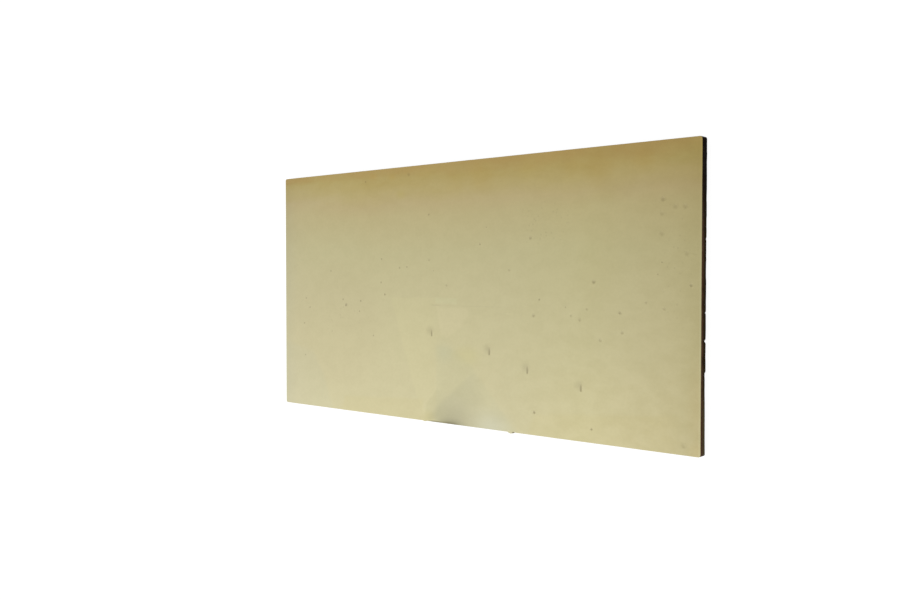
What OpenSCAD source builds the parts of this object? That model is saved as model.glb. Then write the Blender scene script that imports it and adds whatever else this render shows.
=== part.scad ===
// Faux stone wall panel: one sheet of rigid foam, moulded as courses of split
// stone. It lies on its stones with its flat back up. X runs along its length,
// Y up its height as it hangs on a wall, and Z out of its back. The origin is
// at floor level under its middle, and all sizes are in millimetres.

/* [Panel] */
// Length of the panel
panel_length = 1219.2; // [1000:0.1:1500]
// Height of the panel as it hangs on a wall
panel_height = 609.6; // [590:0.1:700]
// Thickness of the foam behind the joints
web_thickness = 9; // [6:0.5:20]
// Radius of the panel's four corners
corner_radius = 5; // [2:0.5:10]

/* [Courses] */
// Height of the lowest course
course_1 = 84; // [70:1:100]
// Height of the second course
course_2 = 74; // [64:1:90]
// Height of the third course
course_3 = 63; // [56:1:80]
// Height of the fourth course, the thinnest
course_4 = 54; // [52:1:70]
// Height of the fifth course
course_5 = 70; // [56:1:80]
// Height of the sixth course
course_6 = 70; // [56:1:80]
// Height of the seventh course; the eighth fills the rest of the panel
course_7 = 95; // [80:1:110]

/* [Stones] */
// Step that the upright joints between the stones are set out in
joint_step = 5; // [4:0.5:8]
// Step that the stones' drops and leans are given in
level_step = 0.5; // [0.3:0.1:0.6]
// How far the proudest stones stand out from the floor of the joints
stand_out = 19; // [14:0.5:26]
// Width of a joint at its floor
joint_width = 2.5; // [2:0.5:6]
// How far a joint's edges wander
joint_wander = 2; // [0:0.5:3]
// Width of the steep side of a stone
side_width = 2; // [1:0.5:4]
// Width of the broken edge between a stone's side and its face
edge_width = 8; // [5:0.5:14]
// Cut across the corners of each stone
corner_cut = 6; // [3:0.5:12]
// How far the split face of a stone is rough, up and down
face_rough = 2.4; // [0:0.1:3]
// How far a face's ends are higher or lower than its middle, by its tilt
face_tilt = 1.6; // [0:0.1:3]
// Size of the larger facets of a split face
facet_size = 30; // [26:1:60]

/* [Nubs] */
// Width of the larger trimmed nub on the bottom edge
nub_width = 17; // [10:0.5:24]
// How far the larger nub reaches past the edge
nub_reach = 3.3; // [1:0.1:5]
// Place of the larger nub along the bottom edge
nub_place = 768; // [600:1:900]
// Width of the smaller trimmed nub
small_nub_width = 12; // [8:0.5:20]
// How far the smaller nub reaches past the edge
small_nub_reach = 1.4; // [0.5:0.1:4]
// Distance between the two nubs
nub_spacing = 256; // [100:1:400]

/* [Hidden] */

total_thickness = web_thickness + stand_out;
side_share = 0.5; // height of a stone's steep side, as a share of its stand-out
edge_share = 0.86; // height where the broken edge meets the face
least_stone = 60; // a stone that the panel's end would leave narrower joins its neighbour
root = 1; // how far a stone is rooted in the web
courses = [course_1, course_2, course_3, course_4, course_5, course_6, course_7];
course_count = len(courses) + 1;

end = panel_length / joint_step; // the upright joint of a stone that runs to the panel's end

// The stones as laid: left and right joint in joint steps, lowest course, the
// course above its top, how much less it stands out than the proudest stones,
// and how much further its upper edge stands out than its middle, both in
// level steps.
stones = [
    [0, 30, 0, 2, 0, -2],
    [30, 66, 0, 1, 10, 2],
    [66, 112, 0, 1, 2, -2],
    [112, 148, 0, 1, 12, 0],
    [148, 181, 0, 1, 0, -4],
    [181, end, 0, 2, 5, -8],
    [30, 76, 1, 2, 4, 2],
    [76, 96, 1, 3, 14, -2],
    [96, 136, 1, 2, 0, 2],
    [136, 160, 1, 3, 8, 4],
    [160, 181, 1, 2, 6, -2],
    [0, 39, 2, 4, 10, 2],
    [39, 76, 2, 3, 0, -2],
    [96, 136, 2, 4, 6, -4],
    [160, 196, 2, 3, 0, 2],
    [196, end, 2, 3, 4, 0],
    [39, 60, 3, 5, 8, 2],
    [60, 96, 3, 4, 2, 0],
    [136, 176, 3, 4, 14, 2],
    [176, end, 3, 4, 3, 0],
    [0, 39, 4, 5, 4, -2],
    [60, 117, 4, 6, 0, 2],
    [117, 166, 4, 5, 8, -2],
    [166, 197, 4, 5, 2, 2],
    [197, end, 4, 6, 4, 0],
    [0, 26, 5, 7, 14, 2],
    [26, 60, 5, 6, 2, -2],
    [117, 149, 5, 7, 4, 2],
    [149, 197, 5, 6, 12, 0],
    [26, 50, 6, 7, 6, -2],
    [50, 86, 6, 8, 10, 2],
    [86, 117, 6, 7, 0, -2],
    [149, 180, 6, 7, 2, 2],
    [180, end, 6, 8, 2, 2],
    [0, 50, 7, 8, 0, 2],
    [86, 138, 7, 8, 8, -2],
    [138, 180, 7, 8, 0, 0],
];

function sum(list, count, i = 0) = i >= count ? 0 : list[i] + sum(list, count, i + 1);

// A joint that comes too near the panel's far edge moves out to that edge.
function held(place, far) = place > far - least_stone ? far : place;
function across(place) = held(place * joint_step, panel_length);
function up(course) = course == course_count ? panel_height : held(sum(courses, course), panel_height);

// Lines across a stone from one joint to the next: side, broken edge, face,
// broken edge, side. At the panel's own edge the stone is cut off at the top
// of its side.
function gap(at_edge) = at_edge ? -side_width : joint_width / 2;
function lines(low, high, far) =
    let (
        a = low + gap(low == 0),
        b = high - gap(high == far),
        c = a + side_width + edge_width,
        d = b - side_width - edge_width,
        n = max(1, round((d - c) / facet_size))
    )
    [a, a + side_width, each [for (i = [0 : n]) c + (d - c) * i / n], b - side_width, b];

function inside(place, far) = min(max(place, 0), far);
function near_edge(place, line, far, at_low, at_high) =
    min(at_low ? far : place - line[0], at_high ? far : line[len(line) - 1] - place);
function inward(i, count) = 2 * i < count - 1 ? 1 : -1;

// One stone is a patch of facets that starts in the web, climbs its steep side
// and broken edge, and spreads over its split face.
module stone(low_x, high_x, low_y, high_y, stand, lean, seed) {
    xs = lines(low_x, high_x, panel_length);
    ys = lines(low_y, high_y, panel_height);
    nx = len(xs);
    ny = len(ys);
    chance = rands(-1, 1, 3 * nx * ny + 1, seed);

    reaches_end = low_x == 0 || high_x == panel_length;

    function share(i, count) = 2 * i / (count - 1) - 1;
    function ring(i, j) = min(i, nx - 1 - i, j, ny - 1 - j);
    function luck(i, j, k) = chance[3 * (j * nx + i) + k];
    function tilt(i, j) =
        face_tilt * chance[3 * nx * ny] * share(i, nx) * (reaches_end ? 0 : 1) + lean * share(j, ny);
    function rise(i, j) =
        let (r = ring(i, j), top = stand + tilt(i, j))
        r == 0 ? -root
        : r == 1 ? side_share * top
        : r == 2 ? min(edge_share * top + face_rough * luck(i, j, 2) / 2, stand_out)
        : min(top + face_rough * luck(i, j, 2), stand_out);
    function cut(x, y) = max(0, corner_cut
        - near_edge(x, xs, panel_length, low_x == 0, high_x == panel_length)
        - near_edge(y, ys, panel_height, low_y == 0, high_y == panel_height)) / 2;
    function wander(i, j, k) =
        ring(i, j) < 2 ? joint_wander * abs(luck(i, j, k)) / 2
        : ring(i, j) == 2 ? edge_width * luck(i, j, k) / 3
        : facet_size * luck(i, j, k) / 5;
    function place(i, j) =
        let (c = cut(xs[i], ys[j]))
        [
            inside(xs[i] + inward(i, nx) * (c + (wall_x(i) ? 0 : wander(i, j, 0))), panel_length),
            inside(ys[j] + inward(j, ny) * (c + (wall_y(j) ? 0 : wander(i, j, 1))), panel_height),
            stand_out - rise(i, j),
        ];
    function wall_x(i) = (low_x == 0 && i < 2) || (high_x == panel_length && i > nx - 3);
    function wall_y(j) = (low_y == 0 && j < 2) || (high_y == panel_height && j > ny - 3);
    function at(i, j) = j * nx + i;

    patch = [
        for (j = [0 : ny - 2], i = [0 : nx - 2])
            each (2 * i < nx - 1) == (2 * j < ny - 1)
                ? [[at(i, j), at(i + 1, j), at(i + 1, j + 1)], [at(i, j), at(i + 1, j + 1), at(i, j + 1)]]
                : [[at(i, j), at(i + 1, j), at(i, j + 1)], [at(i + 1, j), at(i + 1, j + 1), at(i, j + 1)]]
    ];
    rim = concat(
        [for (i = [0 : nx - 1]) at(i, 0)],
        [for (j = [1 : ny - 1]) at(nx - 1, j)],
        [for (i = [nx - 2 : -1 : 0]) at(i, ny - 1)],
        [for (j = [ny - 2 : -1 : 1]) at(0, j)]
    );
    root_fan = [for (k = [0 : len(rim) - 1]) [nx * ny, rim[(k + 1) % len(rim)], rim[k]]];
    middle = [(low_x + high_x) / 2, (low_y + high_y) / 2, stand_out + root];

    polyhedron(
        points = [for (j = [0 : ny - 1], i = [0 : nx - 1]) place(i, j), middle],
        faces = concat(patch, root_fan)
    );
}

module stone_courses() {
    for (k = [0 : len(stones) - 1]) {
        s = stones[k];
        left = across(s[0]);
        bottom = up(s[2]);
        if (left < panel_length && bottom < panel_height)
            stone(left, across(s[1]), bottom, up(s[3]), stand_out - s[4] * level_step, s[5] * level_step, k + 1);
    }
}

module rounded_outline() {
    r = corner_radius;
    translate([r, 0]) square([panel_length - 2 * r, panel_height]);
    translate([0, r]) square([panel_length, panel_height - 2 * r]);
    for (x = [r, panel_length - r], y = [r, panel_height - r])
        translate([x, y]) circle(r, $fn = 48);
}

// A nub is what is left of a spout after trimming: a low round swelling.
module nub(place, width, reach) {
    r = (width * width / 4 + reach * reach) / (2 * reach);
    translate([place, r - reach, stand_out]) cylinder(h = web_thickness / 2, r = r, $fn = 96);
}

module stone_panel() {
    color("#cfc79a")
    translate([-panel_length / 2, (nub_reach - panel_height) / 2, 0]) {
        intersection() {
            union() {
                translate([0, 0, stand_out]) cube([panel_length, panel_height, web_thickness]);
                stone_courses();
            }
            linear_extrude(total_thickness) rounded_outline();
        }
        nub(nub_place, nub_width, nub_reach);
        nub(nub_place - nub_spacing, small_nub_width, small_nub_reach);
    }
}

stone_panel();
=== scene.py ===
# Faux stone wall panel: it lies on its stones and shows its yellowed, moulded back
import math
import random

import bmesh
import bpy
from mathutils import Matrix, Vector, noise
from mathutils.bvhtree import BVHTree


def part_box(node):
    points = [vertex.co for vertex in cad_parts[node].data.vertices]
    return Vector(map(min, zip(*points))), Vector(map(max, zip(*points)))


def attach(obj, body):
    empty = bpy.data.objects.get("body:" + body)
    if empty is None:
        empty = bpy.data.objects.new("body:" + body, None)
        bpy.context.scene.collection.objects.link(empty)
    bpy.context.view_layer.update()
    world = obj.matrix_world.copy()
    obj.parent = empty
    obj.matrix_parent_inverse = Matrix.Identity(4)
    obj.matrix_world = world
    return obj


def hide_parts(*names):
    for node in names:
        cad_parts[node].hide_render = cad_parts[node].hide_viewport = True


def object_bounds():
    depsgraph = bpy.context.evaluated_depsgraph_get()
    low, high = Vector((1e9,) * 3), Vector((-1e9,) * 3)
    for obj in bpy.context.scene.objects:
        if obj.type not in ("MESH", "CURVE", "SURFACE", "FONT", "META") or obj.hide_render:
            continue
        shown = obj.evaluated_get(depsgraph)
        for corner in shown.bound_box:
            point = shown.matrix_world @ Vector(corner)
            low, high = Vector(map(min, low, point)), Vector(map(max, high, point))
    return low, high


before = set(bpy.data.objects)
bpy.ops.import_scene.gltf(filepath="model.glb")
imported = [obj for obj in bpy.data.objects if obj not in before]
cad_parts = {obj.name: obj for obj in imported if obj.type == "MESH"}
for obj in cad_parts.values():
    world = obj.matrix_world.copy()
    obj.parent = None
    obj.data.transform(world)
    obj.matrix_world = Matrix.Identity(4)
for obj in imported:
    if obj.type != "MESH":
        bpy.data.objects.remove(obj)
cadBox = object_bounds()
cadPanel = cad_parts["stone_panel"]
mm = 0.001
hair = 0.01 * mm  # points closer than this are at the same place
onEdges, onBack = 1, 2  # the finishes of the edges and the back, after that of the face

# The casting as the frame gives it: its surface, and the outline of its back
casting = BVHTree.FromPolygons(
    [vertex.co.copy() for vertex in cadPanel.data.vertices],
    [tuple(polygon.vertices) for polygon in cadPanel.data.polygons])
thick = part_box("stone_panel")[1].z
backRim = [vertex.co for vertex in cadPanel.data.vertices if vertex.co.z > thick - hair]
left, right = min(co.x for co in backRim), max(co.x for co in backRim)
bottom, top = min(co.y for co in backRim), max(co.y for co in backRim)
length, height = right - left, top - bottom
cornerRadius = min(co.y for co in backRim if co.x < left + hair) - bottom
middle = Vector(((left + right) / 2, (bottom + top) / 2, thick))
print("frame read: the back is", round(length / mm), "by", round(height / mm), "mm")

face = {
    "seed": 7,  # another seed splits the stones another way
    "pitch": 1.8 * mm,  # spacing of the points the stones are cut with
    "felt": 0.3 * mm,  # the casting is felt at least this far inside its outline
    "stoneFoot": 2.5 * mm,  # a stone starts this far out of the joints
    "stoneTop": 9 * mm,  # and has its whole relief from here
    "apart": 0.37,  # moves each stone to a spot of its own in the noise
    # in inner brackets: a noise's increment, lacunarity and octaves, the grain's offset and gain
    "chips": [(0.24, 36 * mm), (0.2, 12 * mm)],  # slope and size of the flat breaks in a face
    "chipLean": 7.31,  # picks the way that each of them leans
    "risers": 2.0,  # how steep the steps between them are
    "warp": (5 * mm, 24.0),  # how far and how closely their edges wander
    "swell": (1.1 * mm, 20.0, (0.9, 2.1, 4)),  # depth and closeness of the broad hollows
    "beds": (0.8 * mm, 9.0, 3.4, (1.0, 2.0, 3)),  # height, closeness and flatness of the split beds
    "bedShift": 5.3,  # keeps the beds off the hollows
    "bedSteps": (3.4, 3),  # how finely the noise is cut into beds, and how many make their height
    "bedRiser": (0.2, 0.8),  # the share of a bed in which the next one rises
    "grit": (0.4 * mm, 120.0, (0.8, 2.2, 4, 1.0, 2.0)),  # depth and closeness of the grain
    "sand": (0.5 * mm, 160.0, (0.8, 2.0, 3)),  # the same in the joints
    "wear": 2.2 * mm,  # how much a stone has lost to all of these
    "calm": (16 * mm, 0.25),  # the calmer band along the panel's edges, and what is left there
    "filled": [  # joints that are shallow at the right end: height, fill and banking up, in mm
        (158, 6.6, 0), (221, 4, 1.5), (275, 7, 1.5), (415, 8, 1.5),
    ],
    "fillIn": (22 * mm, 6 * mm),  # from the right end: where the fill starts and where it is whole
    "fillAcross": (9 * mm, 5 * mm),  # the same from the middle of the joint
    "fillMost": 10 * mm,  # it never reaches higher
    "full": (158 * mm, 9 * mm, 2 * mm),  # from this height stones are fuller there: band, amount
    "reach": 7 * mm,  # what stands proud of this much around it is a peak
    "sunk": 0.64,  # deeper than this share of a joint counts as no deeper
}
edges = {
    "rows": 6,  # rows of points up each edge
    "ripple": (0.22 * mm, 55.0, (1.0, 2.0, 3)),  # depth, closeness and noise of the skin's ripples
    "felt": 50 * mm,  # the casting's edge is felt from this far outside
    "rim": 0.7 * mm,  # the soft arris around the back
    "triangles": 150000,  # about what the face and edges keep between them
    "sharp": 40,  # degrees from which an edge stays crisp
}


def smooth(low, high, value):
    share = min(max((value - low) / (high - low), 0.0), 1.0)
    return share * share * (3 - 2 * share)


def pressed(x, y, inset):
    # a point of the plain rectangle, moved in to the rounded outline
    x = min(max(x, left + inset), right - inset) - middle.x
    y = min(max(y, bottom + inset), top - inset) - middle.y
    radius = cornerRadius - inset
    pastX = abs(x) - (length / 2 - cornerRadius)
    pastY = abs(y) - (height / 2 - cornerRadius)
    reach = math.hypot(pastX, pastY)
    if pastX > 0 and pastY > 0 and reach > radius:
        x = math.copysign(length / 2 - cornerRadius + pastX * radius / reach, x)
        y = math.copysign(height / 2 - cornerRadius + pastY * radius / reach, y)
    return middle.x + x, middle.y + y


def castLevel(x, y):
    x, y = pressed(x, y, face["felt"])
    return casting.ray_cast(Vector((x, y, -thick)), Vector((0, 0, 1)))[0].z


def filled(x, y):
    # how far the foam fills a joint where it comes out at the right end
    near = smooth(*face["fillIn"], right - x)
    deepest = 0.0
    for place, fill, bank in face["filled"]:
        off = abs(y - bottom - place * mm)
        deepest = max(deepest, (fill * mm + bank * off) * near * smooth(*face["fillAcross"], off))
    return min(deepest, face["fillMost"])


def laidStones(levels, floor):
    # numbers every patch of points that stands out of the joints
    rows, columns = len(levels), len(levels[0])
    owner = [[0] * columns for _ in levels]
    count = 0

    def free(row, column):
        return not owner[row][column] and floor - levels[row][column] >= face["stoneFoot"]

    for startRow in range(rows):
        for startColumn in range(columns):
            if not free(startRow, startColumn):
                continue
            count += 1
            owner[startRow][startColumn] = count
            waiting = [(startRow, startColumn)]
            while waiting:
                row, column = waiting.pop()
                for rowStep, columnStep in ((1, 0), (-1, 0), (0, 1), (0, -1)):
                    r, c = row + rowStep, column + columnStep
                    if 0 <= r < rows and 0 <= c < columns and free(r, c):
                        owner[r][c] = count
                        waiting.append((r, c))
    return owner, count


def splitRelief(x, y, stone):
    # how far the split face of one stone swells out, or breaks away where this is negative
    spot = Vector((x, y, face["apart"] * stone))
    wander, warpScale = face["warp"]
    bent = spot + wander * noise.noise_vector(spot * warpScale)
    relief = -face["wear"]
    for slope, size in face["chips"]:
        place = bent / size
        gaps, corners = noise.voronoi(place)
        relief += slope * size * max(
            (place - corner).dot(noise.noise_vector(corner * face["chipLean"]))
            - face["risers"] * (gap - gaps[0])
            for gap, corner in zip(gaps, corners))
    swell, closeness, kind = face["swell"]
    relief += swell * noise.fractal(spot * closeness, *kind)
    bed, closeness, flat, kind = face["beds"]
    laid = Vector((bent.x, bent.y * flat, face["apart"] * stone + face["bedShift"]))
    steps, whole = face["bedSteps"]
    step = noise.fractal(laid * closeness, *kind) * steps
    relief += bed * (math.floor(step) + smooth(*face["bedRiser"], step - math.floor(step))) / whole
    grit, closeness, kind = face["grit"]
    return relief + grit * (noise.ridged_multi_fractal(spot * closeness, *kind) - 1.0)


def blurred(levels, reach):
    # each level averaged with those around it, along the rows and then up the columns
    for _ in range(2):
        averaged = []
        for line in levels:
            total, running = 0.0, [0.0]
            for level in line:
                total += level
                running.append(total)
            spans = [(max(k - reach, 0), min(k + reach + 1, len(line))) for k in range(len(line))]
            averaged.append([(running[end] - running[start]) / (end - start)
                             for start, end in spans])
        levels = [list(line) for line in zip(*averaged)]
    return levels


def makeFace():
    noise.seed_set(face["seed"])
    columns, rows = round(length / face["pitch"]), round(height / face["pitch"])
    shell = bmesh.new()
    bmesh.ops.create_grid(shell, x_segments=columns, y_segments=rows, size=0.5)
    bmesh.ops.scale(shell, vec=(length, height, 1), verts=shell.verts)
    bmesh.ops.translate(shell, vec=(middle.x, middle.y, 0), verts=shell.verts)
    bmesh.ops.reverse_faces(shell, faces=shell.faces)
    levels = [[0.0] * (columns + 1) for _ in range(rows + 1)]
    places = []
    for vertex in shell.verts:
        row = round((vertex.co.y - bottom) / height * rows)
        column = round((vertex.co.x - left) / length * columns)
        places.append((vertex, row, column))
        levels[row][column] = castLevel(vertex.co.x, vertex.co.y)
    floor = max(max(line) for line in levels)
    owner, count = laidStones(levels, floor)
    print("stone face:", count, "stones over", len(places), "points")
    for vertex, row, column in places:
        x, y = vertex.co.x, vertex.co.y
        level = levels[row][column]
        stone = owner[row][column]
        if stone:
            band, kept = face["calm"]
            inset = min(x - left, right - x, y - bottom, top - y)
            strength = smooth(face["stoneFoot"], face["stoneTop"], floor - level)
            strength = strength * (kept + (1 - kept) * smooth(0, band, inset))
            start, width, most = face["full"]
            fuller = most * smooth(width, 0, right - x) * (y > bottom + start)
            level -= splitRelief(x, y, stone) * strength + fuller
        else:
            sand, closeness, kind = face["sand"]
            level -= sand * noise.fractal(Vector((x, y, 0)) * closeness, *kind)
        levels[row][column] = level = max(min(level, floor - filled(x, y)), 0.0)
        vertex.co.z = level
        vertex.co.x, vertex.co.y = pressed(x, y, 0.0)
    sunk = face["sunk"] * floor
    capped = [[min(level, sunk) for level in line] for line in levels]
    around = blurred(capped, round(face["reach"] / face["pitch"]))

    def lookUp(co):
        # the stone under a point, how deep it lies there, and how far it stands proud
        row = min(max(round((co.y - bottom) / height * rows), 0), rows)
        column = min(max(round((co.x - left) / length * columns), 0), columns)
        peak = (around[row][column] - co.z) / face["reach"]
        return owner[row][column], (floor - co.z) / floor, peak

    return shell, lookUp


def drawnOut(shell, border, finish):
    # a strip of faces from an open border: its points, and the border that is open now
    made = bmesh.ops.extrude_edge_only(shell, edges=border)["geom"]
    for polygon in (part for part in made if isinstance(part, bmesh.types.BMFace)):
        polygon.material_index = finish
    vertices = [part for part in made if isinstance(part, bmesh.types.BMVert)]
    return vertices, [part for part in made
                      if isinstance(part, bmesh.types.BMEdge) and part.is_boundary]


def makeEdges(shell):
    border = [edge for edge in shell.edges if edge.is_boundary]
    for row in range(edges["rows"]):
        vertices, border = drawnOut(shell, border, onEdges)
        for vertex in vertices:
            vertex.co.z += (thick - edges["rim"] - vertex.co.z) / (edges["rows"] - row)
            if row == edges["rows"] - 1:
                continue
            offset = vertex.co - middle
            if length / 2 - abs(offset.x) < height / 2 - abs(offset.y):
                outward = Vector((math.copysign(1, offset.x), 0, 0))
            else:
                outward = Vector((0, math.copysign(1, offset.y), 0))
            met = casting.ray_cast(vertex.co + outward * edges["felt"], -outward)[0]
            swelling = max((met - vertex.co).dot(outward), 0) if met else 0
            depth, closeness, kind = edges["ripple"]
            ripple = depth * (0.5 + 0.5 * noise.fractal(vertex.co * closeness, *kind))
            vertex.co += outward * (swelling - ripple)


def asObject(name, shell):
    mesh = bpy.data.meshes.new(name)
    shell.to_mesh(mesh)
    shell.free()
    piece = bpy.data.objects.new(name, mesh)
    bpy.context.scene.collection.objects.link(piece)
    return piece


def arranged(shell):
    # an operator may make its parts in any order, and this order is always the same
    def spot(part):
        corners = [part] if isinstance(part, bmesh.types.BMVert) else part.verts
        return tuple(sum((vertex.co for vertex in corners), Vector()))

    for parts in (shell.verts, shell.edges, shell.faces):
        places = {part: place for place, part in enumerate(sorted(parts, key=spot))}
        parts.sort(key=places.get)


def thinned(shell, triangles):
    # fewer points where the surface is plain, and all of them where it is broken
    arranged(shell)
    piece = asObject("thinning", shell)
    count = sum(len(polygon.vertices) - 2 for polygon in piece.data.polygons)
    piece.modifiers.new("Thin", "DECIMATE").ratio = min(triangles / count, 1.0)
    lean = bmesh.new()
    lean.from_object(piece, bpy.context.evaluated_depsgraph_get())
    bpy.data.objects.remove(piece)
    kept = sum(len(polygon.verts) - 2 for polygon in lean.faces)
    print("face and edges thinned from", count, "to", kept, "triangles")
    return lean


back = {
    "cell": 50 * mm,  # plain squares of the back
    "margin": 4 * mm,  # strip around them
    "finest": 0.9,  # cells in and around the marks, in mm
    "ticks": [  # lower ends of the scored ticks, in mm from the middle
        (-75, -101.6), (99, -136.8), (204.4, -171.6), (341.8, -200),
    ],
    "tick": (2.0, 19, 0.8, 1.0),  # half width, height and depth in mm, and the darkness of the painted shade in it
    "tickSides": (1.5, 0.5),  # shares of the half width where a tick starts and where it is whole
    "tickFoot": (-0.06, 0.06),  # the same in shares of its height, at its lower end
    "tickHead": (1.0, 0.35),  # and at its upper end
    "tickRoom": 1.5,  # fine cells go on this far past both ends, in mm
    "pits": {  # radius in mm and the darkness of the painted shade in a pit, and the places in mm from the middle
        (1.1, 1.0): [(90, 150), (-69, 53), (-423, -103), (303, -25), (527, 67), (518, 44)],
        (1.7, 1.0): [
            (-297, 277), (-83.5, 186), (72, 112.5), (-241.5, 83), (-180, 60.5), (-155, 62.5),
            (-427, 54), (-243, 25), (236, -10), (-525, -18), (-381, -19), (-510, -42),
            (-320.4, -48), (-533, -85), (-529, -170), (-270.4, -108),
        ],
        (2.0, 1.1): [(-230, -4.8), (368.4, -276), (-315.4, -22)],
        (2.3, 0.5): [
            (154.8, 54), (-28, 18.5), (493, -12), (532.5, -24), (316.8, -42.4), (355.6, -28),
            (-82.6, 78.4),
        ],
        (3.0, 0.5): [(-148, 285), (439.6, -73.6), (388.4, -91), (338.4, -50.8)],
        (4.0, 0.5): [(529, 190)],
        (4.2, 0.3): [
            (575.2, -286), (555.3, 174.4), (576.2, 173.4), (526.6, 162.2), (526.8, 123.4),
            (579.6, 83.7),
        ],
        (2.6, 0.75): [(433.8, -34), (588.6, 22.4)],
        (3.2, 0.65): [(212.4, 123), (221, -44.6)],
        (2.7, 1.1): [(223.3, -254.6)],
        (3.4, 0.75): [(372.3, 28.4)],
        (3.1, 1.0): [(-369.8, -33)],
    },
    "pitDepth": 0.4,  # share of its radius
    "pitShade": (1.9, 0.2),  # shares of the radius where the dark starts and where it is whole
    "pitBowl": (1.3, 0.3),  # the same of the hollow
}


def dented(x, y):
    # how dark the painted shade in the ticks and pits makes the back at a point, and how deep they
    # are
    x, y = (x - middle.x) / mm, (y - middle.y) / mm
    halfWidth, tall, sunk, shade = back["tick"]
    paintedShade, deep = 0.0, 0.0
    for tickX, tickY in back["ticks"]:
        up = (y - tickY) / tall
        share = smooth(*back["tickSides"], abs(x - tickX) / halfWidth)
        share = share * smooth(*back["tickFoot"], up) * smooth(*back["tickHead"], up)
        paintedShade, deep = max(paintedShade, shade * share), max(deep, sunk * share)
    for (radius, dark), places in back["pits"].items():
        for pitX, pitY in places:
            reach = math.hypot(x - pitX, y - pitY) / radius
            paintedShade = max(paintedShade, dark * smooth(*back["pitShade"], reach))
            deep = max(deep, back["pitDepth"] * radius * dark * smooth(*back["pitBowl"], reach))
    return paintedShade, deep * mm


def makeBack(shell):
    border = [edge for edge in shell.edges if edge.is_boundary]
    vertices, border = drawnOut(shell, border, onBack)
    for vertex in vertices:
        vertex.co = Vector((*pressed(vertex.co.x, vertex.co.y, edges["rim"]), thick))
    plain = bmesh.ops.edgeloop_fill(shell, edges=border, mat_nr=onBack)["faces"]
    for way, low, span in (((1, 0, 0), left, length), ((0, 1, 0), bottom, height)):
        count = round(span / back["cell"])
        for cut in range(count + 1):
            parts = set(plain)
            for polygon in plain:
                parts.update(polygon.edges)
                parts.update(polygon.verts)
            place = low + back["margin"] + (span - 2 * back["margin"]) * cut / count
            made = bmesh.ops.bisect_plane(shell, geom=list(parts), dist=hair,
                                          plane_co=Vector(way) * place, plane_no=way)["geom"]
            plain = [part for part in made if isinstance(part, bmesh.types.BMFace)]
    halfWidth, tall = back["tick"][:2]
    marks = [(x, y + tall / 2, 2 * halfWidth, tall / 2 + back["tickRoom"])
             for x, y in back["ticks"]]
    for (radius, _), places in back["pits"].items():
        wide = radius * back["pitShade"][0]
        marks += [(x, y, wide, wide) for x, y in places]
    cell = back["cell"] / mm
    while cell > back["finest"]:
        near = set()
        for polygon in plain:
            at = (polygon.calc_center_median() - middle) / mm
            if any(abs(at.x - x) < wide + cell and abs(at.y - y) < high + cell
                   for x, y, wide, high in marks):
                near.update(polygon.edges)
        bmesh.ops.subdivide_edges(shell, edges=list(near), cuts=1, use_grid_fill=True)
        plain = [polygon for polygon in shell.faces if polygon.material_index == onBack
                 and all(vertex.co.z > thick - hair for vertex in polygon.verts)]
        cell /= 2
    print("back:", len(plain), "faces")


# One socket, to reckon with as with a number
class Signal:
    def __init__(self, board, socket):
        self.board = board
        self.socket = socket

    def __add__(self, other):
        return self.board.math("ADD", self, other)

    def __radd__(self, other):
        return self.board.math("ADD", other, self)

    def __sub__(self, other):
        return self.board.math("SUBTRACT", self, other)

    def __rsub__(self, other):
        return self.board.math("SUBTRACT", other, self)

    def __mul__(self, other):
        return self.board.math("MULTIPLY", self, other)

    def __rmul__(self, other):
        return self.board.math("MULTIPLY", other, self)

    def __truediv__(self, other):
        return self.board.math("DIVIDE", self, other)

    def __rtruediv__(self, other):
        return self.board.math("DIVIDE", other, self)


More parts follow.
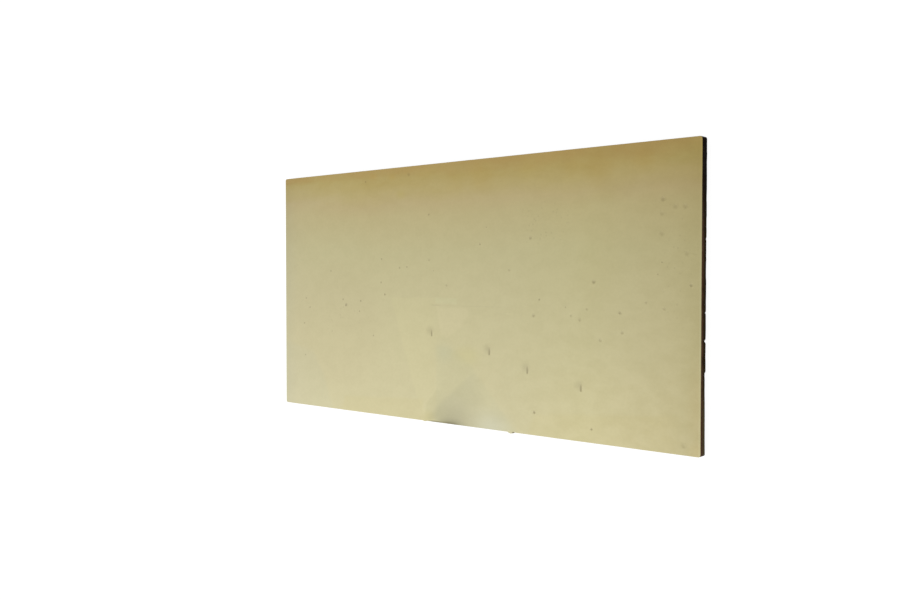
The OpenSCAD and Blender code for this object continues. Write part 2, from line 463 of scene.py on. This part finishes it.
# The nodes of one material or of the world
class Board:
    def __init__(self, owner):
        owner.use_nodes = True
        self.owner = owner
        self.tree = owner.node_tree
        self.tree.nodes.clear()
        self.spot = None

    def node(self, kind, settings=None, values=None, out=0):
        # settings come first, because some of them change which sockets there are
        made = self.tree.nodes.new(kind)
        for key, value in (settings or {}).items():
            if key == "stops":
                elements = made.color_ramp.elements
                while len(elements) < len(value):
                    elements.new(0.5)
                for element, (place, colour) in zip(elements, value):
                    element.position = place
                    element.color = (*colour, 1.0)
            else:
                setattr(made, key, value)
        for key, value in (values or {}).items():
            if isinstance(value, Signal):
                self.tree.links.new(value.socket, made.inputs[key])
            else:
                made.inputs[key].default_value = value
        return Signal(self, made.outputs[out]) if out is not None else made

    def math(self, operation, *values):
        return self.node("ShaderNodeMath", {"operation": operation}, dict(enumerate(values)))

    def mix(self, share, first, second, way="MIX"):
        first, second = (value if isinstance(value, Signal) else (*value, 1.0)
                         for value in (first, second))
        # the colour sockets share their names with others, so these go by number
        return self.node("ShaderNodeMix", {"data_type": "RGBA", "blend_type": way},
                         {0: share, 6: first, 7: second}, 2)

    def darker(self, colour, share):
        return self.mix(share, colour, (0, 0, 0))

    def tinted(self, colour, share, tint):
        return self.mix(share, colour, tint, "MULTIPLY")

    def ramp(self, value, stops):
        return self.node("ShaderNodeValToRGB", {"stops": stops}, {"Fac": value})

    def point(self, name):
        return self.node("ShaderNodeAttribute", {"attribute_name": name}, out="Fac")

    def at(self):
        # one node gives the place to all that ask for it
        if self.spot is None:
            self.spot = self.node("ShaderNodeTexCoord", out="Object")
        return self.spot

    def parts(self):
        return [self.node("ShaderNodeSeparateXYZ", None, {"Vector": self.at()}, way)
                for way in "XYZ"]

    def noise(self, scale, detail=4.0, rough=0.55, stretch=(1, 1, 1), shift=(0, 0, 0)):
        moved = self.node("ShaderNodeMapping", None,
                          {"Vector": self.at(), "Location": shift, "Scale": stretch})
        return self.node("ShaderNodeTexNoise", None,
                         {"Vector": moved, "Scale": scale, "Detail": detail, "Roughness": rough})

    def between(self, value, low, high, toLow=0.0, toHigh=1.0):
        return self.node("ShaderNodeMapRange", {"interpolation_type": "SMOOTHSTEP"},
                         {"Value": value, "From Min": low, "From Max": high,
                          "To Min": toLow, "To Max": toHigh})

    def vector(self, operation, *values, out="Vector"):
        return self.node("ShaderNodeVectorMath", {"operation": operation},
                         dict(enumerate(values)), out)

    def blob(self, centre, size, soft, lean=0.0):
        # one in the middle of a leaning ellipse, nothing outside it, in mm from the back's middle
        moved = self.vector("SUBTRACT", self.at(),
                            (middle.x + centre[0] * mm, middle.y + centre[1] * mm, 0))
        if lean:
            moved = self.node("ShaderNodeVectorRotate", {"rotation_type": "Z_AXIS"},
                              {"Vector": moved, "Angle": math.radians(-lean)})
        scaled = self.vector("MULTIPLY", moved, (1 / size[0] / mm, 1 / size[1] / mm, 0))
        reach = self.vector("LENGTH", scaled, out="Value")
        return self.between(reach, 1.0, 1.0 - soft)

    def patch(self, corners, soft, across, up):
        # one well inside the corners, which go round anticlockwise, and nothing outside them
        inside = None
        for (x, y, *own), (nextX, nextY, *_) in zip(corners, corners[1:] + corners[:1]):
            run, rise = nextX - x, nextY - y
            fade = math.hypot(run, rise) * (own[0] if own else soft)
            gap = across * (-rise / fade) + up * (run / fade) + (rise * x - run * y) / fade
            inside = self.math("MINIMUM", inside, gap) if inside else gap
        return self.between(inside, 0.0, 1.0)

    def seen(self):
        # what the camera sees by itself, in a reflection or through glass
        return sum(self.node("ShaderNodeLightPath", out=f"Is {ray} Ray")
                   for ray in ("Camera", "Glossy", "Transmission"))

    def finish(self, colour, roughness, relief, depth, shine=0.5):
        bump = self.node("ShaderNodeBump", None, {"Distance": depth, "Height": relief})
        shader = self.node("ShaderNodeBsdfPrincipled", None, {
            "Base Color": colour, "Roughness": roughness, "Specular IOR Level": shine,
            "Normal": bump})
        self.node("ShaderNodeOutputMaterial", None, {"Surface": shader}, None)
        return self.owner


def tone(red, green, blue):
    # a colour as it is seen on a screen, in the linear values that a shader takes
    return tuple(value / 255 / 12.92 if value <= 10 else ((value / 255 + 0.055) / 1.055) ** 2.4
                 for value in (red, green, blue))


# In the finishes a noise is given as scale, detail, roughness, stretch and shift, and a fade as
# where it starts and ends, and then what it gives at both, if that isn't none and all.
skin = {
    "upTheBack": [  # share of the height, and the colour of the aged skin, darker and browner towards the top: partly yellowing, partly painted shade
        (0.0, tone(200, 192, 151)), (0.06, tone(197, 189, 148)), (0.29, tone(194, 186, 144)),
        (0.47, tone(190, 182, 140)), (0.66, tone(185, 177, 133)), (0.8, tone(182, 170, 123)),
        (0.85, tone(180, 164, 117)), (0.9, tone(176, 159, 103)), (0.945, tone(172, 153, 91)),
        (0.975, tone(169, 146, 83)), (0.992, tone(169, 143, 80)),
    ],
    "alongTheBack": [  # share of the length, and how much darker the ends are, partly from yellowing and partly painted shade
        (0.0, (0.94, 0.945, 1)), (0.04, (0.99, 0.985, 1)), (0.1, (1, 1, 1)), (0.62, (1, 1, 0.98)),
        (0.79, (0.99, 0.99, 0.92)), (0.885, (0.96, 0.945, 0.875)), (0.95, (0.925, 0.9, 0.805)),
        (1.0, (0.85, 0.82, 0.68)),
    ],
    "drift": (7.0, 3.0),  # the noise that bends both of these
    "driftUp": 0.05,  # by this share of the height
    "driftAlong": 0.04,  # and of the length
    "streaks": (9.0, 4.0, 0.6, (1, 3.4, 1), (3, 1, 0)),  # the noise in the dark band along the top
    "streaked": (0.8, 0.95),  # fade of the streaks, up the height
    "streakUp": 0.09,  # how much of the height they reach over
    "farTop": (0.3, 0.0, 0.0, 0.035),  # fade along the length that thins this band at the far end
    "farTopUp": (0.985, 0.96),  # fade that leaves the very top as it is
    "clouds": (26.0, 5.0, 0.6, (1, 1.5, 1), (7, 2, 0)),  # the noise that the tone drifts with
    "cloudDark": (0.35, 0.65, 0.0, 0.02),
    "mottle": (150.0, 2.0, 0.5, (1, 1, 1), (5, 3, 0)),  # the fine mottling
    "mottleDark": (0.3, 0.7, 0.0, 0.022),
    "stainsAndHighlights": [  # middle and size in mm, softness, lean in degrees, tint
        ((-450, 270), (240, 75), 0.6, 0, (1.02, 1.035, 1.05)),
        ((-570, 275), (150, 56), 0.8, 0, (0.97, 0.975, 0.97)),
        ((-250, 290), (170, 30), 0.8, 0, (1.005, 1.015, 1.03)),
        ((-270, 288), (26, 14), 1.0, 0, (1.02, 0.96, 0.86)),
        ((-205, 283), (22, 14), 1.0, 0, (1.02, 0.98, 0.88)),
        ((-175, 238), (26, 19), 1.0, 0, (0.98, 0.98, 0.85)),
        ((-90, 284), (52, 20), 0.9, 0, (1.0, 0.98, 0.92)),
        ((0, 258), (48, 36), 0.9, 0, (0.985, 0.965, 0.89)),
        ((75, 265), (56, 48), 0.9, 0, (0.97, 0.93, 0.8)),
        ((205, 272), (36, 30), 0.9, 0, (1.01, 1.01, 0.96)),
        ((250, 290), (70, 30), 0.8, 0, (1.02, 1.045, 1.055)),
        ((320, 270), (40, 30), 0.9, 0, (0.995, 0.97, 0.9)),
        ((382, 262), (54, 52), 0.9, 0, (0.96, 0.915, 0.79)),
        ((485, 274), (36, 32), 0.9, 0, (0.99, 0.96, 0.86)),
        ((400, 215), (60, 34), 0.9, 0, (0.97, 0.96, 0.9)),
        ((340, 300), (330, 60), 0.9, 0, (0.98, 0.955, 0.92)),
        ((566, 285), (66, 40), 0.8, 0, (1.015, 1.055, 1.065)),
        ((610, 300), (34, 44), 0.9, 0, (1.07, 1.12, 1.15)),
        ((50, 290), (60, 28), 0.9, 0, (1.0, 0.985, 0.97)),
        ((606, -296), (34, 30), 0.9, 0, (1.08, 1.05, 1.04)),
        ((385, 60), (70, 120), 0.8, 0, (0.98, 0.975, 0.955)),
        ((606, -210), (34, 130), 0.9, 0, (1.01, 0.98, 0.955)),
        ((-410, -90), (210, 200), 0.5, 0, (0.975, 0.965, 0.965)),
        ((420, -240), (320, 130), 0.8, 0, (1.035, 1.03, 1.02)),
        ((35, -142), (56, 32), 0.9, 0, (0.985, 0.985, 0.91)),
        ((-36, -136), (40, 40), 0.9, 0, (0.965, 0.985, 1.02)),
        ((-5, -308), (85, 95), 1.0, 0, (0.82, 0.82, 0.84)),
        ((-6, -306), (62, 20), 1.0, -4, (0.72, 0.72, 0.7)),
        ((-30, -290), (80, 40), 1.0, 0, (0.94, 0.94, 0.91)),
        ((167, -306), (6, 4), 0.7, 0, (0.3, 0.25, 0.18)),
        ((-66, -306), (32, 5.5), 0.6, 0, (0.52, 0.5, 0.42)),
        ((-30, -305), (50, 6.5), 0.8, 0, (0.7, 0.68, 0.6)),
        ((-16, -303.5), (36, 8), 0.9, 0, (0.82, 0.8, 0.73)),
        # a painted highlight on the trimmed ledge above the dark line along the bottom edge
        ((-68, -299.8), (24, 2.1), 0.8, 0, (1.13, 1.13, 1.14)),
        ((594, 82), (11, 1.4), 0.7, -12, (0.93, 0.93, 0.9)),
        ((593, 77), (10, 1.4), 0.7, -12, (1.04, 1.04, 1.03)),
        ((-86, -298), (32, 28), 0.9, 0, (0.98, 0.96, 0.88)),
        ((106, -304), (84, 62), 1.0, 0, (0.975, 1.015, 1.17)),
        ((66, -28.5), (156, 1.8), 0.8, 0, (0.965, 0.965, 0.975)),
        ((-62, -28), (28, 2.2), 0.8, 0, (0.92, 0.92, 0.93)),
        ((154, -43), (16, 2.4), 0.8, 0, (1.04, 1.04, 1.04)),
    ],
    # corners, softness and tint, in mm; a corner's third number is the softness of its next side
    "patches": [
        ([(-97, -330), (85, -330, 50), (105, -240, 50), (90, -205, 24), (62, -176), (45, -178),
          (-50, -250), (-97, -292)], 16, (0.93, 0.935, 0.95)),
        ([(-108, -330), (-10, -330, 60), (-10, -225, 16), (-60, -222), (-98, -262)],
         9, (0.935, 0.94, 0.925)),
        ([(-66, -330), (205, -330), (50, -160), (-10, -122), (-66, -118)], 10, (0.97, 0.983, 0.99)),
        ([(-640, -330), (-400, -330), (-448, -215), (-490, -150), (-640, -120)],
         20, (0.975, 0.99, 1.02)),
        ([(-228, -8), (-185, -115), (-140, -215), (-98, -330), (-30, -330, 60), (-30, -8)],
         7, (1.022, 1.025, 1.01)),
        ([(-400, -330), (-98, -330), (-98, -247), (-380, -262)], 12, (0.995, 0.985, 0.94)),
        ([(190, -330), (600, -330, 60), (580, -222), (215, -252)], 14, (1.0, 0.99, 0.95)),
        ([(-66, -8), (-66, -27), (6, -27), (6, -8)], 5, (1.02, 1.045, 1.055)),
        ([(-62, -30), (-50, -100), (-25, -108), (20, -80), (40, -50), (42, -30)],
         8, (1.04, 1.035, 1.05)),
    ],
    "patchWander": (8, 5),  # how far their sides wander along and up the back, in mm
    "tickShade": ((-5, 13), (18, 16), (0.875, 0.87, 0.865)),  # painted shade on the sloping side of each tick's dent: place, size and tint
    "tickHighlight": ((4.2, 8), (3.4, 11), (1.05, 1.05, 1.08)),  # painted highlight on the lit side of each tick
    "dent": (0.66, 0.64, 0.63),  # tint of the painted shade in the pits and ticks, where it is darkest
    # where fine specks gather: middle and size in mm
    "specks": (((250, 150), (130, 90)), ((-400, -65), (170, 70)), ((560, 60), (50, 200))),
    "speckSoft": 0.8,  # how softly these end
    "speckScale": 62.0,
    "speckSize": (0.17, 0.07),  # fade out of a speck's middle
    "speckPick": (40.0, 1.0),  # the noise that picks some of them
    "speckPicked": (0.4, 0.6),
    "speckDark": 0.09,
    "lipHighlight": (5 * mm, 2.5 * mm),  # fade of the painted highlight on the lip, from the two ends
    "lipHighlightTint": (1.07, 1.1, 1.16),
    "pores": (900.0, 3.0),
    "relief": (0.3, 0.25, 0.12 * mm),  # shares of the pores and the clouds in it, and its depth
    "roughness": (0.3, 0.7, 0.52, 0.66),  # over the clouds
    "wiped": ((40, -290), (150, 70), 0.7),  # middle, size and softness of a shinier spot, in mm
    "wipedLess": 0.14,  # how much less rough it is
}


def yellowedShadedSkin():
    board = Board(bpy.data.materials.new("yellowedShadedSkin"))
    x, y, _ = board.parts()
    along = (x - left) / length
    up = (y - bottom) / height
    drift = board.noise(*skin["drift"]) - 0.5
    streaks = board.noise(*skin["streaks"]) - 0.5
    band = board.between(up, *skin["streaked"])
    sunk = board.between(along, *skin["farTop"]) * board.between(up, *skin["farTopUp"])
    bent = up + skin["driftUp"] * drift + skin["streakUp"] * band * streaks - sunk
    # the back gets darker towards the top and the ends: yellowing, and painted shade of a light
    # that falls off that way
    colour = board.ramp(bent, skin["upTheBack"])
    darkened = board.ramp(along + skin["driftAlong"] * drift, skin["alongTheBack"])
    colour = board.tinted(colour, 1.0, darkened)
    clouds = board.noise(*skin["clouds"])
    colour = board.darker(colour, board.between(clouds, *skin["cloudDark"]))
    mottle = board.noise(*skin["mottle"])
    colour = board.darker(colour, board.between(mottle, *skin["mottleDark"]))
    for centre, size, soft, lean, tint in skin["stainsAndHighlights"]:
        colour = board.tinted(colour, board.blob(centre, size, soft, lean), tint)
    wanderAlong, wanderUp = skin["patchWander"]
    fromMiddle = (x - middle.x) / mm + wanderAlong * drift
    fromHalfWay = (y - middle.y) / mm + wanderUp * streaks
    for corners, soft, tint in skin["patches"]:
        colour = board.tinted(colour, board.patch(corners, soft, fromMiddle, fromHalfWay), tint)
    # painted shade and painted highlight on the two sides of each tick
    for tickX, tickY in back["ticks"]:
        for (shiftX, shiftY), size, tint in (skin["tickShade"], skin["tickHighlight"]):
            beside = board.blob((tickX + shiftX, tickY + shiftY), size, 1.0)
            colour = board.tinted(colour, beside, tint)
    gathered = sum(board.blob(centre, size, skin["speckSoft"]) for centre, size in skin["specks"])
    cells = board.node("ShaderNodeTexVoronoi", {"voronoi_dimensions": "2D"},
                       {"Vector": board.at(), "Scale": skin["speckScale"]})
    speck = board.between(cells, *skin["speckSize"])
    speck = speck * board.between(board.noise(*skin["speckPick"]), *skin["speckPicked"]) * gathered
    colour = board.darker(colour, speck * skin["speckDark"])
    # painted shade in the pits and ticks
    colour = board.tinted(colour, board.point("dent"), skin["dent"])
    # painted highlight along the lip at both ends
    inset = board.math("MINIMUM", x - left, right - x)
    colour = board.tinted(colour, board.between(inset, *skin["lipHighlight"]), skin["lipHighlightTint"])
    pores = board.noise(*skin["pores"])
    wiped = board.blob(*skin["wiped"])
    roughness = board.between(clouds, *skin["roughness"]) - skin["wipedLess"] * wiped
    ofPores, ofClouds, depth = skin["relief"]
    return board.finish(colour, roughness, pores * ofPores + clouds * ofClouds - speck, depth)


edgePaint = {
    "nearBack": tone(80, 54, 36),  # brown on the side of the sheet
    "nearStones": tone(40, 30, 12),  # almost black on the sides of the stones
    "dust": tone(80, 69, 47),  # lighter on those towards the bottom
    "dusty": (0.3, 0.1),  # fade of the dust down the height
    "dustDrift": 0.2,  # how much it wanders
    "drift": (30.0, 4.0),
    "runs": (70.0, 4.0, 0.6, (1, 1, 0.25), (2, 5, 0)),  # the noise of paint that ran over the edge
    "fleck": (260.0, 4.0, 0.65),
    "meet": (10, 6.5),  # fade from near the stones to near the back, in mm below the back
    "meetWander": (7, 3),  # how far it wanders with the runs and the flecks, in mm
    "runDark": (0.5, 0.68, 0.0, 0.32),
    "grain": tone(112, 82, 50),
    "grainy": (0.52, 0.75, 0.0, 0.4),  # fade of the grain over the flecks
    "topDark": (0.64, 0.9, 0.0, 0.88),  # fade up the height that makes the edges darker towards the top
    "topDrift": 0.1,  # how much that wanders
    "bare": tone(168, 150, 104),  # foam that shows through where the arris is knocked
    "bareDown": (2.2, 1.1),  # and its fade below the back, in mm
    "knocks": (190.0, 3.0, 0.6, (1, 1, 1), (7, 7, 7)),
    "knocked": (0.63, 0.7),
    "roughness": (0.3, 0.7, 0.55, 0.82),  # over the flecks
    "relief": (0.5, 0.5 * mm),  # share of the runs in it, and its depth
    "shine": 0.02,
}


def paintedEdge():
    board = Board(bpy.data.materials.new("paintedEdge"))
    _, y, z = board.parts()
    up = (y - bottom) / height
    down = (thick - z) / mm
    drift = board.noise(*edgePaint["drift"]) - 0.5
    runs = board.noise(*edgePaint["runs"])
    fleck = board.noise(*edgePaint["fleck"])
    dusty = board.between(up + edgePaint["dustDrift"] * drift, *edgePaint["dusty"])
    stones = board.mix(dusty, edgePaint["nearStones"], edgePaint["dust"])
    withRuns, withFlecks = edgePaint["meetWander"]
    below = down + withRuns * (runs - 0.5) + withFlecks * (fleck - 0.5)
    sheet = board.between(below, *edgePaint["meet"])
    colour = board.mix(sheet, stones, edgePaint["nearBack"])
    colour = board.darker(colour, board.between(runs, *edgePaint["runDark"]))
    colour = board.mix(board.between(fleck, *edgePaint["grainy"]), colour, edgePaint["grain"])
    darkerUp = board.between(up + edgePaint["topDrift"] * drift, *edgePaint["topDark"])
    colour = board.darker(colour, darkerUp)
    knocked = board.between(board.noise(*edgePaint["knocks"]), *edgePaint["knocked"])
    knocked = knocked * board.between(down, *edgePaint["bareDown"])
    colour = board.mix(knocked, colour, edgePaint["bare"])
    roughness = board.between(fleck, *edgePaint["roughness"])
    ofRuns, depth = edgePaint["relief"]
    return board.finish(colour, roughness, fleck + ofRuns * runs, depth, edgePaint["shine"])


stonePaint = {
    "tones": [  # what the stones are washed with
        (0.0, tone(74, 56, 38)), (0.2, tone(98, 74, 50)), (0.4, tone(112, 90, 62)),
        (0.6, tone(86, 76, 60)), (0.8, tone(104, 78, 50)), (1.0, tone(66, 57, 46)),
    ],
    "seed": 7,  # another seed deals the tones out another way
    "dealt": 200,  # more than there are stones
    "broad": (14.0, 4.0, 0.6),  # the noise that shifts a stone's tone
    "toneDrift": 0.35,  # and by how much
    "blotch": (55.0, 5.0, 0.62, (1, 1.8, 1), (4, 9, 0)),
    "grain": (520.0, 4.0, 0.6),
    "fine": (1500.0, 2.0),
    "fineDark": (0.35, 0.7, 0.0, 0.16),
    "ochre": tone(132, 100, 60),
    "ochreFade": (0.5, 0.7, 0.0, 0.4),  # over the blotches
    "wash": tone(44, 34, 24),
    "washFade": (0.04, -0.14, 0.0, 0.85),  # from what stands proud down to the hollows
    "washBreak": (0.25, 0.1),  # how much the grain and the blotches break it up
    "dryBrush": tone(160, 138, 104),
    "brushFade": (0.02, 0.26, 0.0, 0.62),  # up to the peaks
    "brushBreak": (0.4, 0.25),
    "brushHeight": (0.3, 0.5),  # fade out of the joints, where the brush doesn't reach
    "joint": tone(34, 27, 19),
    "jointFade": (0.36, 0.12),  # down into the joints
    "jointBreak": 0.12,
    "sand": tone(74, 63, 47),
    "sandFade": (0.5, 0.75, 0.0, 0.55),  # over the grain
    "sprayFade": (9, 1, 0.0, 0.85),  # of the edges' dark paint, from the panel's edge, in mm
    "sprayBreak": (8, 6),
    "roughness": (0.3, 0.7, 0.68, 0.86),  # over the blotches
    "relief": (0.4, 0.5 * mm),  # share of the fine noise in it, and its depth
    "shine": 0.25,
}


def paintedStone():
    board = Board(bpy.data.materials.new("paintedStone"))
    x, y, _ = board.parts()
    stone, depth, peak = board.point("stone"), board.point("depth"), board.point("peak")
    broad = board.noise(*stonePaint["broad"])
    blotch = board.noise(*stonePaint["blotch"])
    grain = board.noise(*stonePaint["grain"])
    fine = board.noise(*stonePaint["fine"])

    def broken(value, byGrain, byBlotch):
        # a fade over this value comes out ragged
        return value + byGrain * (grain - 0.5) + byBlotch * (blotch - 0.5)

    colour = board.ramp(stone + stonePaint["toneDrift"] * (broad - 0.5), stonePaint["tones"])
    colour = board.mix(board.between(blotch, *stonePaint["ochreFade"]), colour, stonePaint["ochre"])
    low = board.between(broken(peak, *stonePaint["washBreak"]), *stonePaint["washFade"])
    colour = board.mix(low, colour, stonePaint["wash"])
    high = board.between(broken(peak, *stonePaint["brushBreak"]), *stonePaint["brushFade"])
    high = high * board.between(depth, *stonePaint["brushHeight"])
    colour = board.mix(high, colour, stonePaint["dryBrush"])
    colour = board.darker(colour, board.between(fine, *stonePaint["fineDark"]))
    sandy = board.between(grain, *stonePaint["sandFade"])
    joint = board.mix(sandy, stonePaint["joint"], stonePaint["sand"])
    deep = board.between(depth + stonePaint["jointBreak"] * (grain - 0.5), *stonePaint["jointFade"])
    colour = board.mix(deep, colour, joint)
    inset = board.math("MINIMUM", board.math("MINIMUM", x - left, right - x),
                       board.math("MINIMUM", y - bottom, top - y)) / mm
    sprayed = board.between(broken(inset, *stonePaint["sprayBreak"]), *stonePaint["sprayFade"])
    colour = board.mix(sprayed, colour, edgePaint["nearStones"])
    roughness = board.between(blotch, *stonePaint["roughness"])
    ofFine, reliefDepth = stonePaint["relief"]
    return board.finish(colour, roughness, grain + ofFine * fine, reliefDepth, stonePaint["shine"])


def makePanel():
    shell, lookUp = makeFace()
    makeEdges(shell)
    shell = thinned(shell, edges["triangles"])
    makeBack(shell)
    bmesh.ops.recalc_face_normals(shell, faces=shell.faces)
    arranged(shell)
    random.seed(stonePaint["seed"])
    tones = [random.random() for _ in range(stonePaint["dealt"])]
    layers = {name: shell.verts.layers.float.new(name)
              for name in ("stone", "depth", "peak", "dent")}
    for vertex in shell.verts:
        if vertex.co.z > thick - hair:
            # painted shade in the dents, and how deep they are
            paintedShade, deep = dented(vertex.co.x, vertex.co.y)
            vertex[layers["dent"]] = paintedShade
            vertex.co.z -= deep
        else:
            vertex.co = [min(max(value, low), high)
                         for value, low, high in zip(vertex.co, *cadBox)]
            stone, depth, peak = lookUp(vertex.co)
            vertex[layers["stone"]] = tones[stone]
            vertex[layers["depth"]] = depth
            vertex[layers["peak"]] = peak
    for polygon in shell.faces:
        polygon.smooth = True
    panel = asObject("mouldedPanel", shell)
    panel.data.set_sharp_from_angle(angle=math.radians(edges["sharp"]))
    for material in (paintedStone(), paintedEdge(), yellowedShadedSkin()):
        panel.data.materials.append(material)
    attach(panel, "root")
    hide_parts("stone_panel")


makePanel()
print("panel made")

studio = {
    "floor": (8.0, 8),  # half the width of the floor, and its squares
    "floorGrey": 0.8,  # what the floor sends back to the panel
    "floorSeen": (0.2, 0.92),  # as it is looked at: what a shadow can take away, and what stays
    "worldLight": 0.59,
    "softbox": (40.0, 1.6, (-0.7, -1.3, 2.2)),  # power, width and place of the lamp
}


def makeStudio():
    halfWidth, squares = studio["floor"]
    ground = bmesh.new()
    bmesh.ops.create_grid(ground, x_segments=squares, y_segments=squares, size=halfWidth)
    floor = asObject("floor", ground)
    board = Board(bpy.data.materials.new("paleFloor"))
    grey = studio["floorGrey"]
    shaded, glowing = studio["floorSeen"]
    lit = board.node("ShaderNodeBsdfDiffuse", None, {"Color": (grey, grey, grey, 1)})
    looked = board.node("ShaderNodeAddShader", None, {
        0: board.node("ShaderNodeBsdfDiffuse", None, {"Color": (shaded, shaded, shaded, 1)}),
        1: board.node("ShaderNodeEmission", None, {"Color": (1, 1, 1, 1), "Strength": glowing})})
    shader = board.node("ShaderNodeMixShader", None, {0: board.seen(), 1: lit, 2: looked})
    board.node("ShaderNodeOutputMaterial", None, {"Surface": shader}, None)
    floor.data.materials.append(board.owner)

    world = bpy.data.worlds.new("studio")
    bpy.context.scene.world = world
    board = Board(world)
    # the world as it lights, and as it is looked at
    light, white = (
        board.node("ShaderNodeBackground", None, {"Color": (1, 1, 1, 1), "Strength": strength})
        for strength in (studio["worldLight"], 1.0))
    shader = board.node("ShaderNodeMixShader", None, {0: board.seen(), 1: light, 2: white})
    board.node("ShaderNodeOutputWorld", None, {"Surface": shader}, None)

    power, width, place = studio["softbox"]
    lamp = bpy.data.lights.new("softbox", "AREA")
    lamp.energy = power
    lamp.size = width
    box = bpy.data.objects.new("softbox", lamp)
    turn = (middle - Vector(place)).to_track_quat("-Z", "Y").to_matrix().to_4x4()
    box.matrix_world = Matrix.Translation(place) @ turn
    bpy.context.scene.collection.objects.link(box)


view = {
    "place": (1.408, 0.0395, 1.6556),  # where the camera stands, from the middle of the back
    "aim": (-0.0174, -0.0152, 0.0),  # what it looks at, from there too
    "lens": 37.59,
    "sensor": 36,
}


def makeCamera():
    camera = bpy.data.objects.new("camera", bpy.data.cameras.new("camera"))
    bpy.context.scene.collection.objects.link(camera)
    bpy.context.scene.camera = camera
    camera.data.lens = view["lens"]
    camera.data.sensor_width = view["sensor"]
    place, aim = Vector(view["place"]), Vector(view["aim"])
    ahead = (aim - place).normalized()
    side = ahead.cross(Vector((0, 1, 0))).normalized()
    turn = Matrix((side, side.cross(ahead), -ahead)).transposed()
    camera.matrix_world = Matrix.Translation(middle + place) @ turn.to_4x4()


makeStudio()
makeCamera()
bpy.context.scene.view_settings.view_transform = "Standard"
print("studio and camera made")
